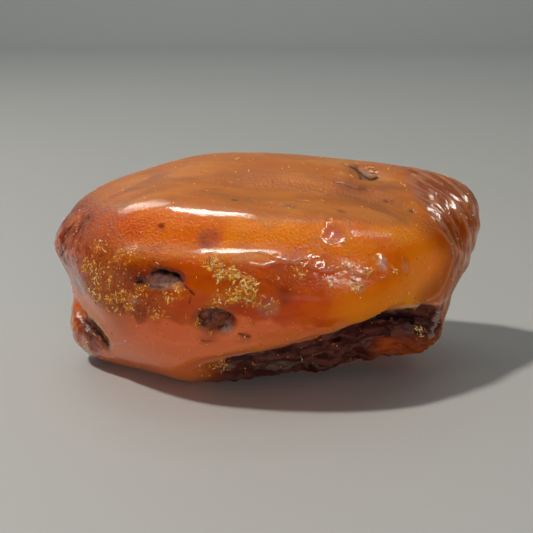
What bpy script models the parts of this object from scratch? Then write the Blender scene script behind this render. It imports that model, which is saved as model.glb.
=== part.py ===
"""A raw amber nugget, one solid piece, as it lies on its worn underside.

Millimetres below are the stone's own, with +X to the right, +Y to the back and +Z up.
The origin is on the resting plane, under the middle of the stone.
"""

import math

import bmesh
import bpy
import numpy as np
from mathutils import Vector, noise

MM = 0.001
GROUND_BLOCK = 100.0
MOST_TRIANGLES = 9300
SURFACE_GRAIN = 0.33
SHARP_EDGE = math.radians(42)

# The core is the ellipsoid that the skin is measured from, outwards along its rays.
CORE_CENTRE = np.array([0.0, 0.0, 13.5])
CORE_RADII = np.array([30.0, 19.0, 14.5])
SKIN_FINENESS = 7

# Points that the skin passes through, in lines that run from left to right along the stone.
TOP_OUTLINE = [
    (-26.3, 3.0, 23.2), (-23.0, 4.0, 25.3), (-17.2, 6.0, 27.2), (-6.5, 8.0, 29.2),
    (0.5, 9.0, 28.9), (9.3, 9.0, 28.2), (18.1, 9.0, 27.3), (26.6, 7.0, 25.7), (28.4, 6.0, 24.9),
]
TOP_FACE = [
    (-17.0, -1.0, 27.0), (-9.0, -1.0, 28.3), (0.0, -1.0, 28.2), (10.0, -1.0, 27.2), (20.0, 0.0, 25.3),
]
BROW = [
    (-20.9, -5.3, 24.7), (-16.6, -8.0, 25.8), (-11.2, -9.5, 26.2), (-4.1, -9.8, 25.6),
    (4.3, -9.7, 24.8), (10.9, -8.8, 24.1), (17.8, -6.3, 22.7),
]
RIDGE = [
    (-23.9, -5.5, 22.4), (-20.5, -8.5, 23.9), (-16.2, -11.2, 25.0), (-11.0, -12.7, 25.2),
    (-4.0, -13.0, 24.8), (4.2, -12.9, 24.0), (10.7, -12.0, 23.2), (17.4, -9.5, 21.7),
]
SHOULDER = [
    (-16.1, -12.5, 23.6), (-10.9, -14.0, 24.0), (-4.0, -14.3, 23.7), (4.2, -14.2, 23.0), (10.2, -13.3, 22.1),
]
STEEP_FACE = [
    (-19.0, -12.3, 21.9), (-15.0, -14.0, 22.3), (-9.5, -15.2, 22.4),
    (-3.9, -15.4, 22.3), (4.2, -15.2, 21.6), (9.9, -14.3, 20.7),
]
LEDGE_BACK = [
    (-17.3, -13.9, 20.8), (-13.4, -15.3, 21.1), (-8.3, -16.0, 21.1), (-3.9, -16.1, 21.0), (1.1, -16.2, 20.7),
    (5.4, -15.9, 20.0), (9.9, -15.1, 19.0),
]
LEDGE = [
    (-17.2, -14.7, 20.4), (-13.3, -16.2, 20.6), (-8.2, -17.0, 20.5), (-3.9, -17.2, 20.4), (1.1, -17.2, 20.0),
    (5.4, -16.9, 19.2), (9.8, -15.9, 18.2),
]
LEDGE_FOOT = [
    (-17.1, -15.3, 19.9), (-13.2, -16.9, 19.9), (-8.2, -17.7, 19.8), (-3.9, -17.9, 19.5), (1.0, -17.9, 18.9),
    (5.4, -17.5, 18.1), (9.8, -16.5, 17.1),
]
FLANK = [
    (-27.0, -4.0, 14.8), (-23.9, -10.0, 15.0), (-18.5, -15.0, 17.1), (-12.8, -18.0, 17.6),
    (-3.9, -19.0, 17.3), (4.1, -18.8, 16.6), (10.4, -17.5, 15.6), (17.4, -12.5, 14.3), (22.0, -7.0, 15.6),
]
BELLY = [
    (-22.3, -9.0, 9.5), (-17.7, -14.0, 9.4), (-11.6, -17.0, 9.6), (-0.8, -17.5, 10.0),
    (9.3, -16.5, 11.0), (15.2, -14.0, 12.2), (19.8, -9.0, 11.4),
]
LEFT_END = [
    (-28.8, 1.0, 20.1), (-29.9, 0.0, 17.3), (-28.7, 0.0, 14.0), (-27.6, 0.0, 9.6),
    (-28.2, 2.0, 4.5), (-26.6, 1.0, 1.7), (-28.6, 6.0, 15.0),
]
RIGHT_END = [
    (30.1, 4.0, 22.1), (29.8, 2.0, 18.3), (27.7, 0.0, 13.0),
    (25.7, 0.0, 7.2), (24.3, 0.0, 3.9), (23.0, -1.0, 2.2),
]
UNDERSIDE = [
    (-22.7, 0.0, 0.2), (-20.0, -5.0, 1.2), (-15.9, -7.0, 1.0), (-11.8, -9.0, 0.6), (-5.6, -9.0, 0.0),
    (0.0, -8.0, 0.0), (6.9, -5.0, -0.3), (12.0, 0.0, -0.3), (17.8, 2.0, 1.0), (20.8, -2.0, 1.7),
    (-10.0, 4.0, -0.8), (2.0, 4.0, -0.8), (10.0, 7.0, -0.5),
]
BACK = [
    (-22.0, 13.0, 17.0), (-8.0, 18.5, 20.0), (8.0, 19.0, 18.0), (22.0, 15.0, 17.0),
    (-14.0, 16.0, 9.0), (4.0, 17.0, 7.0), (18.0, 13.5, 6.0), (-6.0, 15.5, 25.0), (12.0, 16.0, 24.0),
]
BODY_LINES = [
    TOP_OUTLINE, TOP_FACE, BROW, RIDGE, SHOULDER, STEEP_FACE, LEDGE_BACK, LEDGE, LEDGE_FOOT,
    FLANK, BELLY, LEFT_END, RIGHT_END, UNDERSIDE, BACK,
]

# Swells over the whole skin: how far apart they lie and how high they rise.
SWELLS = ((8.0, 0.14), (3.4, 0.07))

# Folds round the right end: the slanted reach where they begin and are full, how far they sink, how wide
# the crests between them are, and how far apart they lie along X, Y and Z.
FOLDS_LEAN = 0.32
FOLDS_BEGIN = 20.5
FOLDS_FULL = 25.5
FOLDS_DEPTH = 0.5
FOLDS_CREST = 0.32
FOLDS_SPACING = np.array([2.6, 5.0, 7.5])

# The break low on the front right, as slices from left to right. Each goes from the lip, inwards
# under its roof, down over the torn terrace and on to the heel, as (y, z).
BREAK_SLICES = {
    -13.5: ((-10.0, 0.6), (-9.8, 0.2), (-9.4, -0.4), (-9.0, -1.0), (-8.6, -1.6), (-8.0, -2.2)),
    -11.6: ((-12.3, 3.0), (-11.6, 2.3), (-10.9, 1.6), (-10.2, 0.8), (-9.4, 0.2), (-8.6, -0.6)),
    -9.0: ((-14.9, 5.7), (-13.6, 5.0), (-12.3, 3.7), (-11.3, 2.2), (-9.8, 1.0), (-8.0, -0.3)),
    -4.7: ((-15.7, 6.6), (-13.6, 6.2), (-12.0, 4.7), (-11.0, 3.0), (-9.4, 1.4), (-7.6, -0.3)),
    0.0: ((-15.8, 7.3), (-13.0, 7.0), (-11.0, 5.7), (-10.2, 3.8), (-8.0, 1.8), (-5.6, -0.2)),
    4.3: ((-15.6, 8.2), (-12.2, 8.0), (-10.0, 6.6), (-9.6, 4.3), (-7.0, 2.2), (-3.8, 0.0)),
    9.4: ((-15.8, 10.1), (-11.6, 9.6), (-8.8, 8.0), (-8.8, 5.2), (-5.8, 2.4), (-1.9, 0.0)),
    13.3: ((-14.9, 11.6), (-10.0, 10.9), (-6.6, 9.0), (-8.2, 6.2), (-5.4, 2.9), (0.6, 0.1)),
    17.5: ((-11.6, 11.7), (-7.6, 10.8), (-4.8, 9.0), (-7.2, 6.6), (-5.6, 3.7), (0.8, 1.1)),
    20.6: ((-8.1, 11.2), (-6.1, 10.4), (-4.4, 8.6), (-6.2, 6.8), (-6.6, 4.2), (-2.2, 1.8)),
    22.6: ((-6.4, 10.7), (-5.3, 9.9), (-4.6, 8.8), (-5.8, 7.2), (-6.8, 5.0), (-4.6, 1.6)),
    24.2: ((-5.3, 9.8), (-5.2, 9.4), (-5.2, 8.8), (-6.4, 7.4), (-7.4, 5.4), (-6.4, 1.0)),
}
BREAK_REACH = 30.0
BREAK_RISE = 3.0
BREAK_FLOOR = -8.0
BREAK_LUMPS = ((4.5, 0.9), (1.9, 0.5))
BREAK_ROUGHNESS_AT = ((-13.0, 0.0), (-6.0, 0.3), (6.0, 1.0), (20.0, 1.0), (24.0, 0.2))
SLICE_FINENESS = 6

# Crevices: the middle of the mouth from end to end, half the mouth's height, depth, and the climb inwards
# in degrees.
CREVICES = {
    "lobe_crevice": (
        [
            (-28.9, 3.5, 8.9), (-27.7, 0.0, 8.5), (-26.2, -3.0, 8.0), (-24.8, -4.9, 7.4),
            (-23.3, -6.7, 7.0), (-22.1, -8.0, 6.1), (-21.3, -8.5, 4.7),
        ],
        1.05, 2.2, 30.0,
    ),
    "front_slot": (
        [
            (-17.0, -16.2, 16.8), (-15.2, -17.1, 16.8), (-13.0, -17.9, 17.2),
            (-10.9, -18.6, 17.2), (-9.2, -19.0, 16.9),
        ],
        1.15, 2.1, 34.0,
    ),
    "nose_groove": (
        [
            (-25.2, -3.9, 22.4), (-26.8, -3.5, 20.6), (-28.1, -3.0, 18.6), (-29.0, -2.3, 16.4),
            (-29.5, 0.4, 15.3), (-28.9, 4.0, 15.0),
        ],
        0.55, 0.75, 20.0,
    ),
    "back_crevice": (
        [
            (-18.0, 15.0, 20.8), (-13.5, 17.2, 20.4), (-9.0, 18.6, 18.6),
            (-5.5, 18.8, 15.6), (-4.0, 18.0, 12.0),
        ],
        0.75, 1.6, 20.0,
    ),
}
CREVICE_SIDES = 14
CREVICE_FINENESS = 5
CREVICE_TAPER = 0.6
CREVICE_RAGGED = 0.22
CREVICE_RAGGED_SPACING = 1.6

# Pits: where on the skin, half their size along, across and into it.
PITS = {
    "front_socket": ((-6.4, -18.6, 12.1), (2.6, 1.75, 2.0)),
    "front_nick": ((-2.5, -17.5, 9.8), (1.0, 0.55, 0.5)),
    "top_scar": ((14.3, 1.2, 27.1), (2.5, 3.0, 0.85)),
    "top_scar_tail": ((9.4, -0.8, 27.4), (2.2, 0.9, 0.4)),
    "front_dimple": ((8.7, -13.6, 22.4), (1.5, 1.2, 0.55)),
    "star_pit": ((-13.3, -13.4, 23.2), (0.9, 0.5, 0.3)),
    "back_hollow": ((6.5, 17.6, 10.5), (6.5, 3.6, 1.0)),
    "back_scar": ((14.5, 17.2, 18.5), (3.0, 1.7, 1.2)),
    "back_nick": ((-17.0, 13.8, 8.5), (1.6, 1.1, 0.9)),
    "left_scar": ((-25.5, 9.0, 10.0), (2.6, 1.7, 1.1)),
    "under_scar": ((-18.0, 2.0, 1.2), (3.6, 2.2, 1.2)),
}
PIT_FINENESS = 4
PIT_RAGGED = 0.34
PIT_LUMPS = 2.3
PIT_PROBE = 0.02

AMBER_COLOUR = (0.42, 0.13, 0.015, 1.0)
AMBER_ROUGHNESS = 0.32
AMBER_IOR = 1.54


def core_rays(points):
    """The direction and the length of each point's ray from the core's centre, in the core's own radii."""
    reach = (points - CORE_CENTRE) / CORE_RADII
    length = np.linalg.norm(reach, axis=1)
    return reach / length[:, None], length


def bend(here, there):
    """How much each of there's rays bends the skin at each of here's."""
    return np.linalg.norm(here[:, None] - there[None], axis=2) ** 3


def skin_through(lines):
    """A function that gives the skin's reach along any ray, smooth and exact at the points of these lines."""
    rays, reach = core_rays(np.array([point for line in lines for point in line]))
    plain = np.column_stack([np.ones(len(rays)), rays])
    system = np.block([[bend(rays, rays), plain], [plain.T, np.zeros((4, 4))]])
    weights = np.linalg.solve(system, np.append(reach, np.zeros(4)))

    def points_along(some_rays):
        basis = np.column_stack([bend(some_rays, rays), np.ones(len(some_rays)), some_rays])
        return CORE_CENTRE + CORE_RADII * some_rays * (basis @ weights)[:, None]

    return points_along


def roll(points, layers):
    """Soft lumps at these points, as the sum of layers of (spacing, height)."""
    height = np.zeros(len(points))
    for spacing, rise in layers:
        height += rise * np.array([noise.noise(Vector(point / spacing)) for point in points])
    return height


def right_folds(points):
    """How far the folds round the right end sink below the skin, as heights under zero."""
    leaning = points.copy()
    leaning[:, 0] -= FOLDS_LEAN * (points[:, 2] - CORE_CENTRE[2])
    grown = np.clip((leaning[:, 0] - FOLDS_BEGIN) / (FOLDS_FULL - FOLDS_BEGIN), 0.0, 1.0)
    sunk = np.zeros(len(points))
    for row in np.flatnonzero(grown):
        near, next_near = noise.voronoi(Vector(leaning[row] / FOLDS_SPACING))[0][:2]
        sunk[row] = -FOLDS_DEPTH * grown[row] * min((next_near - near) / FOLDS_CREST, 1.0)
    return sunk


def curve_through(points, fineness):
    """The smooth curve through these points, with fineness steps from each to the next."""
    padded = np.concatenate([2 * points[:1] - points[1:2], points, 2 * points[-1:] - points[-2:-1]])
    steps = []
    for before, here, ahead, beyond in zip(padded, padded[1:], padded[2:], padded[3:]):
        for t in np.arange(fineness) / fineness:
            pull_in = (ahead - before) * (t**3 - 2 * t**2 + t) / 2
            pull_out = (beyond - here) * (t**3 - t**2) / 2
            between = here * (2 * t**3 - 3 * t**2 + 1) + ahead * (3 * t**2 - 2 * t**3)
            steps.append(between + pull_in + pull_out)
    return np.array(steps + [points[-1]])


def solid_through(name, rings):
    """A closed solid over rings of points in mm, each with the same number of them."""
    form = bmesh.new()
    loops = [[form.verts.new(point) for point in np.array(ring) * MM] for ring in rings]
    for loop, following in zip(loops, loops[1:]):
        for here in range(len(loop)):
            ahead = (here + 1) % len(loop)
            form.faces.new((loop[here], loop[ahead], following[ahead], following[here]))
    form.faces.new(loops[0][::-1])
    form.faces.new(loops[-1])
    bmesh.ops.triangulate(form, faces=form.faces)
    bmesh.ops.recalc_face_normals(form, faces=form.faces)
    return link(name, form)


def link(name, form):
    """Puts this form in the scene as an object, and frees it."""
    mesh = bpy.data.meshes.new(name)
    form.to_mesh(mesh)
    form.free()
    thing = bpy.data.objects.new(name, mesh)
    bpy.context.scene.collection.objects.link(thing)
    return thing


def cut(stone, cutter):
    """Takes the cutter's shape out of the stone."""
    cutter.hide_render = True
    cutter.display_type = "WIRE"
    boolean = stone.modifiers.new(cutter.name, "BOOLEAN")
    boolean.operation = "DIFFERENCE"
    boolean.object = cutter


def body(skin):
    """The whole stone before anything broke off it."""
    form = bmesh.new()
    bmesh.ops.create_icosphere(form, subdivisions=SKIN_FINENESS, radius=1.0)
    rays = np.array([vertex.co for vertex in form.verts])
    rays /= np.linalg.norm(rays, axis=1)[:, None]
    points = skin(rays)
    outwards = (points - CORE_CENTRE) / np.linalg.norm(points - CORE_CENTRE, axis=1)[:, None]
    points += outwards * (roll(points, SWELLS) + right_folds(points))[:, None]
    for vertex, point in zip(form.verts, points):
        vertex.co = Vector(point * MM)
    return link("amber_nugget", form)


def break_cutter():
    """Everything below the break's roof and in front of its torn face."""
    slices = np.array([[(x, y, z) for y, z in profile] for x, profile in BREAK_SLICES.items()])
    sheet = curve_through(slices, SLICE_FINENESS)
    sheet = curve_through(sheet.swapaxes(0, 1), SLICE_FINENESS).swapaxes(0, 1)
    rings = []
    for profile in sheet:
        rough = np.interp(profile[:, 0], *zip(*BREAK_ROUGHNESS_AT))
        torn = profile.copy()
        torn[:, 1:] += (rough * roll(profile, BREAK_LUMPS))[:, None]
        lip, heel = torn[0], torn[-1]
        front = lip + (0.0, -BREAK_REACH, BREAK_RISE)
        below_front = (front[0], front[1], BREAK_FLOOR)
        below_heel = (heel[0], heel[1], BREAK_FLOOR)
        rings.append([front, *torn, below_heel, below_front])
    return solid_through("break_cutter", rings)


def crevice_cutter(name, path, half_mouth, depth, climb):
    """A lens swept along the crevice, narrowing to nothing at both ends."""
    line = curve_through(np.array(path), CREVICE_FINENESS)
    ahead = np.gradient(line, axis=0)
    rings = []
    for step, (place, along) in enumerate(zip(line, ahead)):
        along = Vector(along).normalized()
        inwards = Vector((CORE_CENTRE[0] - place[0], CORE_CENTRE[1] - place[1], 0.0))
        inwards = (inwards - along * inwards.dot(along)).normalized()
        up = inwards.cross(along)
        if up.z < 0:
            up.negate()
        rise, run = math.sin(math.radians(climb)), math.cos(math.radians(climb))
        inwards, up = inwards * run + up * rise, up * run - inwards * rise
        size = math.sin(math.pi * (step + 0.5) / len(line)) ** CREVICE_TAPER
        ring = []
        for turn in np.linspace(0.0, 2.0 * math.pi, CREVICE_SIDES, endpoint=False):
            across, over = depth * size * math.cos(turn), half_mouth * size * math.sin(turn)
            point = Vector(place) + inwards * across + up * over
            ring.append(point + noise.noise_vector(point / CREVICE_RAGGED_SPACING) * (CREVICE_RAGGED * size))
        rings.append(ring)
    return solid_through(name, rings)


def pit_cutter(name, skin, near, half_sizes):
    """A lumpy ellipsoid sunk in the skin, with its length level."""
    ray = core_rays(np.array([near]))[0]
    side = np.cross(ray[0], (0.0, 0.0, 1.0))
    side /= np.linalg.norm(side)
    over = np.cross(side, ray[0])
    probes = skin(ray + PIT_PROBE * np.array([0 * side, side, over]))
    place, right, upper = (Vector(point) for point in probes)
    out = (right - place).cross(upper - place).normalized()
    if out.dot(place - Vector(CORE_CENTRE)) < 0:
        out.negate()
    along = (right - place).normalized()
    across = out.cross(along)
    form = bmesh.new()
    bmesh.ops.create_icosphere(form, subdivisions=PIT_FINENESS, radius=1.0)
    for vertex in form.verts:
        a, b, c = (size * part for size, part in zip(half_sizes, vertex.co))
        point = along * a + across * b + out * c
        lumps = noise.noise(vertex.co * PIT_LUMPS + place) + noise.noise(vertex.co + place)
        vertex.co = (place + point * (1.0 + PIT_RAGGED * lumps)) * MM
    return link(name, form)


def ground():
    """A block whose top is the resting plane."""
    form = bmesh.new()
    bmesh.ops.create_cube(form, size=GROUND_BLOCK * MM)
    bmesh.ops.translate(form, verts=form.verts, vec=(0.0, 0.0, -GROUND_BLOCK / 2 * MM))
    return link("ground", form)


def worn(thing):
    """The thing's mesh as its modifiers leave it."""
    graph = bpy.context.evaluated_depsgraph_get()
    return bpy.data.meshes.new_from_object(thing.evaluated_get(graph))


def settle(stone):
    """Evens the skin out to a triangle budget, and rubs the underside flat where it rests."""
    evened = stone.modifiers.new("evened", "REMESH")
    evened.mode = "VOXEL"
    evened.voxel_size = SURFACE_GRAIN * MM
    softened = stone.modifiers.new("softened", "SMOOTH")
    softened.iterations = 2
    triangles = 2 * len(worn(stone).polygons)
    thinned = stone.modifiers.new("thinned", "DECIMATE")
    thinned.ratio = MOST_TRIANGLES / triangles
    cut(stone, ground())
    mesh = worn(stone)
    stone.modifiers.clear()
    stone.data = mesh
    mesh.name = stone.name
    corners = np.array([vertex.co for vertex in mesh.vertices])
    middle = (corners.min(axis=0) + corners.max(axis=0)) / 2
    for vertex in mesh.vertices:
        vertex.co -= Vector((middle[0], middle[1], 0.0))
    mesh.shade_smooth()
    mesh.set_sharp_from_angle(angle=SHARP_EDGE)


def amber():
    material = bpy.data.materials.new("amber")
    material.use_nodes = True
    surface = material.node_tree.nodes["Principled BSDF"]
    surface.inputs["Base Color"].default_value = AMBER_COLOUR
    surface.inputs["Metallic"].default_value = 0.0
    surface.inputs["Roughness"].default_value = AMBER_ROUGHNESS
    surface.inputs["IOR"].default_value = AMBER_IOR
    return material


def main():
    for old in list(bpy.data.objects):
        bpy.data.objects.remove(old)
    skin = skin_through(BODY_LINES)
    stone = body(skin)
    cut(stone, break_cutter())
    for name, (path, half_mouth, depth, climb) in CREVICES.items():
        cut(stone, crevice_cutter(name, path, half_mouth, depth, climb))
    for name, (near, half_sizes) in PITS.items():
        cut(stone, pit_cutter(name, skin, near, half_sizes))
    settle(stone)
    stone.data.materials.append(amber())


main()
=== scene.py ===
"""The looks of a raw amber nugget, built over its CAD solid.

The nugget is one natural solid, so it is one skin: finer and rougher than the CAD solid, with the golden
crumbs of its old crust standing on it. Millimetres here are the stone's own, in the CAD frame, with +X to
the right, -Y towards the viewer and +Z up.
"""

import math

import bmesh
import bpy
import numpy as np
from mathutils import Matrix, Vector, noise


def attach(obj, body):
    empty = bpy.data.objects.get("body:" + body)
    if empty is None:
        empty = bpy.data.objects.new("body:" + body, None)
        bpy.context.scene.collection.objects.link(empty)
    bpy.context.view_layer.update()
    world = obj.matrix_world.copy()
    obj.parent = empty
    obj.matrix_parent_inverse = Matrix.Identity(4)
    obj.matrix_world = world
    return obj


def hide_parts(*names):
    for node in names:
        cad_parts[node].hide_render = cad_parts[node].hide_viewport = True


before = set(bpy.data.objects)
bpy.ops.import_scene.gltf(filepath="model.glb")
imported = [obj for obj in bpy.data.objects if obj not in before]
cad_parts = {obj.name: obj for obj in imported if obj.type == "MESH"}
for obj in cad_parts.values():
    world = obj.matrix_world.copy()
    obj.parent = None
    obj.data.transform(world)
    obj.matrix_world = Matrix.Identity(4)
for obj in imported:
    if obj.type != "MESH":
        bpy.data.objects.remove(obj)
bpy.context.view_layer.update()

MM = 0.001

# The skin's grain, in mm. It is halved where the surface faces the viewer, and again near small features.
SKIN_GRAIN = 0.54
WELD = 1e-7
# Rounds of smoothing: before the creases are found, over the facets, and after the skin is made finer.
CREASE_ROUNDS = 3
SMOOTHING_ROUNDS = 24
FINE_ROUNDS = 3
# How far the surface turns from its neighbours where a crease begins and where it is full.
CREASE_TURN = (0.06, 0.2)
# How squarely a face has to look at the viewer to be made finer, and how near to a line is near, in mm.
FRONT_FACING = 0.10
NEAR_DETAIL = 0.8
# Rounds that make a normal tell which way the broad form faces.
BROAD_ROUNDS = 8
# The relief fades out over this height, in mm, so that the stone still rests on its flat.
RESTING_BAND = 0.12

# Crumbs of crust: worm-like curls and grains, in mm. The real threads are finer: these are as coarse as they
# need to be to show.
CURL_BENDS = 6
CURL_STEP = 0.19
CURL_GIRTH = 0.11
CURL_SIDES = 4
GRAIN_RADIUS = 0.17
CRUMBS_PER_MM2 = 26.0
CRUMB_SIZE = 1.0
CRUMB_SEED = 7
CRUMB_TILT = 0.5
# The smallest crumbs, and the largest off the crust and on it, as shares of the crumb size.
SMALLEST_CRUMB = 0.4
LARGEST_CRUMBS = (1.0, 2.1)
# How thickly the crumbs lie off the crust, as a share of the most, and up to what height there are none, in mm.
STRAYS = 0.005
BARE_FOOT = 1.0

# The camera, in mm.
CAMERA_TARGET = (-0.45, 0.0, 14.2)
CAMERA_DISTANCE = 146.4
CAMERA_RISE = math.radians(15)
CAMERA_LENS = 70.0

WARM_WHITE, COOL_WHITE = "#fffaf2", "#e6f2f4"

# The torn break low on the right: the lip over it and the heel under it, as (x, z).
LIP = [(-13.0, 1.4), (-10.5, 3.4), (-8.4, 4.8), (-5.0, 5.4), (-1.0, 5.9), (4.0, 6.7), (9.4, 8.6), (12.0, 10.4),
       (13.4, 11.3), (17.5, 11.5), (21.0, 10.7), (23.6, 10.0)]
HEEL = [(-13.0, -2.0), (-7.0, -0.5), (13.0, 0.4), (17.0, 1.6), (21.0, 2.6), (23.6, 3.5)]
# Where the belly starts, as (x, z). Below it the colour is painted paler and pinker: painted fill light and floor
# reflection.
LIT_BELLY = [(-24.0, 12.6), (-19.0, 12.3), (-10.0, 12.4), (-4.0, 12.8), (1.0, 12.6), (5.0, 11.6), (9.0, 11.3),
         (13.0, 12.4), (17.0, 12.4), (24.0, 11.2)]
# The wrinkles round the right end run in arcs about this (x, z). They begin at the first distance from it, and
# are full from the second.
WRINKLE_CENTRE = (15.0, 15.0)
WRINKLE_REACH = (9.6, 10.8)

# Soft spots as (x, y, z, radius, strength).
# Dark pits hold crust and fibre; the two at about (-24, -5, 6), in the hollow over the lower-left lobe, also paint its
# shade.
DARK_PITS = [
    (-13.2, -16.3, 17.2, 2.3, 0.8), (-11.4, -17.0, 17.3, 1.3, 0.8), (-16.2, -16.0, 16.7, 0.9, 0.8),
    (-7.6, -17.6, 12.3, 2.1, 1.2), (-6.2, -17.6, 12.1, 2.1, 1.2), (-3.2, -17.3, 9.9, 0.7, 0.4),
    (14.0, 2.1, 26.9, 1.6, 0.5),
    (11.8, 2.8, 28.0, 1.0, 0.6), (-4.5, -9.5, 25.7, 0.45, 0.9), (-24.3, -4.4, 6.6, 2.4, 0.75),
    (-22.4, -7.4, 5.6, 1.5, 0.6), (15.6, -3.9, 24.3, 0.4, 0.8), (19.1, -4.0, 22.9, 0.5, 0.8),
    (-28.6, -2.4, 17.0, 1.0, 0.55), (-24.6, -5.2, 22.6, 0.6, 0.7), (14.5, 17.2, 18.5, 2.2, 0.7),
    (-17.0, 13.8, 8.5, 1.4, 0.8), (-25.5, 9.0, 10.0, 1.8, 0.6), (-18.0, 2.0, 0.6, 2.4, 0.6),
    (-9.0, 18.4, 18.4, 1.2, 0.5), (-5.3, 18.6, 15.2, 1.2, 0.5),
]
# Wine-dark stains; the five low on the left also darken the hollow over the lower-left lobe as painted shade.
BRUISES = [
    (-17.2, -16.1, 17.4, 1.9, 0.9), (-19.3, -14.7, 14.0, 1.4, 0.8), (-14.0, -17.3, 18.6, 1.5, 0.5),
    (-12.3, -17.6, 18.8, 1.4, 0.5), (1.6, -19.2, 15.6, 1.4, 0.65), (-0.6, -19.5, 14.2, 1.3, 0.5),
    (-13.7, -14.0, 23.1, 0.7, 0.8), (-7.6, -15.7, 21.9, 1.6, 0.6),
    (-7.8, -17.4, 9.6, 1.6, 0.6), (-3.3, -17.4, 9.4, 1.1, 0.6), (10.4, -2.2, 26.3, 2.0, 0.6),
    (-25.2, -4.2, 6.6, 1.9, 0.9), (-24.0, -5.8, 5.9, 1.9, 0.9), (-22.8, -7.2, 4.9, 1.6, 0.8),
    (-24.4, -5.2, 4.2, 1.6, 0.5), (-26.0, -3.4, 3.4, 1.4, 0.4),
    (12.6, -2.6, 25.7, 1.4, 0.6), (12.4, 1.2, 27.2, 2.2, 0.5), (2.6, -10.0, 24.9, 0.9, 0.5),
    (9.3, -9.6, 24.2, 0.8, 0.6), (-27.6, -3.6, 18.0, 2.6, 0.8), (-26.0, -5.6, 20.8, 2.2, 0.7),
    (-24.4, -6.4, 21.8, 1.8, 0.6), (-7.0, -19.6, 12.2, 3.0, 0.35), (17.0, -11.8, 17.6, 1.6, 0.2),
    (20.0, 14.0, 12.0, 3.0, 0.5), (-8.0, 18.5, 12.0, 3.0, 0.4), (4.0, 18.0, 22.0, 2.5, 0.4),
]
BOWLS = [
    (24.3, -2.4, 22.6, 1.2, 0.7),
    (-16.0, -16.0, 19.0, 2.5, 0.35), (2.0, -18.6, 17.6, 3.0, 0.5), (-20.0, -13.0, 12.0, 4.0, 0.4),
]
# Hollows and pricks in the skin as (x, y, z, radius, depth). The first ones have worn, gleaming rims.
GLEAMING_HOLLOWS = 6
HOLLOWS = [
    (8.3, -13.5, 22.0, 1.7, 0.18), (7.4, -14.3, 21.6, 0.8, 0.08), (9.2, -13.4, 21.7, 0.6, 0.10),
    (14.2, -13.8, 18.1, 1.4, -0.28), (12.4, -15.2, 17.4, 0.8, -0.12), (5.6, -16.8, 19.2, 1.2, -0.15),
    (-13.7, -14.0, 23.1, 0.5, 0.22), (-4.5, -9.5, 25.7, 0.35, 0.25), (16.0, -3.9, 24.3, 0.4, 0.25),
    (19.5, -4.0, 22.9, 0.4, 0.2), (9.4, -8.3, 24.4, 0.4, 0.1), (2.6, -9.8, 25.0, 0.5, 0.12),
    (3.4, -18.2, 17.4, 0.35, 0.1), (12.0, -16.6, 14.4, 0.3, 0.08), (-12.0, -17.1, 9.8, 0.35, 0.1),
    (3.8, -17.4, 10.6, 0.35, 0.1), (-1.3, -17.6, 10.0, 0.3, 0.1), (19.0, -2.8, 2.3, 0.4, 0.15),
]
STRAY_PRICKS = 70
PRICK_SEED = 12
PRICK_RADIUS = (0.22, 0.5)
PRICK_DEPTH = 0.2
CRUSTS = [
    (-7.0, -18.1, 19.4, 1.2, 0.9), (-5.6, -18.5, 18.4, 1.6, 1.0), (-4.2, -18.8, 17.6, 1.7, 1.0),
    (-3.0, -19.2, 16.6, 1.6, 1.0), (-2.6, -19.4, 15.6, 1.3, 0.9), (-4.8, -19.4, 15.6, 1.4, 0.7),
    (-6.6, -19.4, 15.0, 1.3, 0.5), (-1.2, -19.6, 14.8, 1.3, 0.5), (0.2, -19.6, 14.3, 1.3, 0.4),
    (-22.6, -11.6, 13.6, 3.0, 0.40), (-20.6, -13.4, 13.6, 2.8, 0.46), (-18.2, -15.3, 14.2, 2.6, 0.40),
    (-16.2, -16.6, 15.0, 2.0, 0.35), (-23.0, -11.4, 16.0, 3.4, 0.34), (-20.0, -14.0, 17.6, 3.2, 0.32),
    (-22.0, -11.8, 19.0, 2.6, 0.30), (-17.5, -15.0, 20.0, 1.6, 0.3), (-14.0, -17.6, 13.6, 2.2, 0.28),
    (-12.2, -17.9, 15.6, 1.8, 0.5), (-9.0, -18.4, 11.6, 1.0, 0.6), (-7.0, -18.6, 10.2, 1.3, 0.5),
    (10.8, -16.2, 16.4, 1.5, 0.6), (7.2, -17.6, 16.6, 1.6, 0.3), (3.6, -17.9, 18.2, 1.4, 0.3),
    (12.2, -15.4, 17.4, 1.0, 0.5), (9.4, -16.0, 18.2, 0.9, 0.5), (14.6, -13.6, 18.9, 0.8, 0.4),
    (15.8, -12.8, 17.2, 0.8, 0.4), (4.6, -17.9, 15.4, 1.4, 0.3), (8.6, -17.0, 15.2, 1.2, 0.3),
    (-0.1, -14.2, 23.5, 1.4, 0.35), (-2.9, -15.1, 22.7, 0.9, 0.3), (14.2, 3.2, 27.6, 0.9, 0.8),
    (-19.6, -14.0, 20.0, 1.6, 0.35), (18.6, -8.0, 7.0, 1.6, 0.5), (20.4, -6.2, 6.7, 1.4, 1.4),
    (-6.0, -12.0, 3.6, 2.4, 0.55), (10.0, 18.0, 14.0, 3.4, 0.6), (-20.0, 12.5, 16.0, 3.0, 0.5),
    (24.0, 6.0, 9.0, 2.4, 0.4), (-2.0, 18.8, 9.0, 2.4, 0.4), (-14.0, 9.0, 26.4, 1.6, 0.3),
]
# Pale spots: frosted films, and painted highlights on the burst bubble's top and on the floor of the front slit.
PALE_FILMS_AND_GLINTS = [
    (-14.4, -16.4, 16.6, 1.2, 0.6), (-13.0, -16.7, 16.7, 1.3, 0.7), (-11.7, -17.2, 16.8, 1.2, 0.6),
    (-5.4, -17.8, 11.0, 0.9, 0.5), (11.0, -16.4, 16.2, 1.2, 0.5), (14.4, -13.7, 18.0, 0.9, 0.8),
    (17.5, -11.7, 17.2, 0.8, 0.35), (-17.4, -16.1, 14.2, 0.8, 0.5), (13.4, 2.6, 27.3, 1.1, 0.6),
    (-26.0, -4.0, 3.8, 1.6, 0.35), (-0.2, -19.6, 14.0, 1.4, 0.3),
]
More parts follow.
